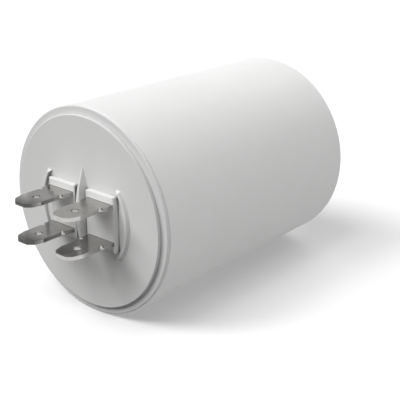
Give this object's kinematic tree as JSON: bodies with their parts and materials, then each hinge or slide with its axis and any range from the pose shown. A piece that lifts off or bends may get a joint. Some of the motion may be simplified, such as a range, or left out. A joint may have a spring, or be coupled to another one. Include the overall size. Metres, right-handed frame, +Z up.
{
  "type": "motor run capacitor",
  "caption": "Round plastic-cased capacitor that stands on its closed base, with a moulded lid that carries upright push-on terminal blades.",
  "frame": {"origin": "centre of the can's flat base", "axes": "+Z up the can's axis towards the terminals, +X from the left terminal to the right one, +Y across the faces of the blades"},
  "size_m": [0.0452, 0.0452, 0.075],
  "materials": {
    "can_plastic": "smooth moulded, white",
    "lid_plastic": "fine-grained moulded, white",
    "terminal_metal": "tin-plated, bright",
    "film": "metallised film",
    "wrap_film": "clear film over grey",
    "tube_plastic": "smooth moulded",
    "sprayed_metal": "rough sprayed zinc",
    "lead_metal": "tinned copper",
    "sleeve_plastic": "soft, matte",
    "solder": "soft solder",
    "resin": "cast resin"
  },
  "bodies": {
    "root": {"can": "can_plastic", "lid": "lid_plastic", "terminal_left": "terminal_metal", "terminal_right": "terminal_metal", "winding": "film", "winding_wrap": "wrap_film", "core_tube": "tube_plastic", "end_spray_lower": "sprayed_metal", "end_spray_upper": "sprayed_metal", "lead_conductor_left": "lead_metal", "lead_conductor_right": "lead_metal", "lead_sleeve_left": "sleeve_plastic", "lead_sleeve_right": "sleeve_plastic", "solder_spray_lower": "solder", "solder_spray_upper": "solder", "solder_terminal_left": "solder", "solder_terminal_right": "solder", "lid_seal": "resin", "resin_fill": "resin"}
  },
  "joints": []
}
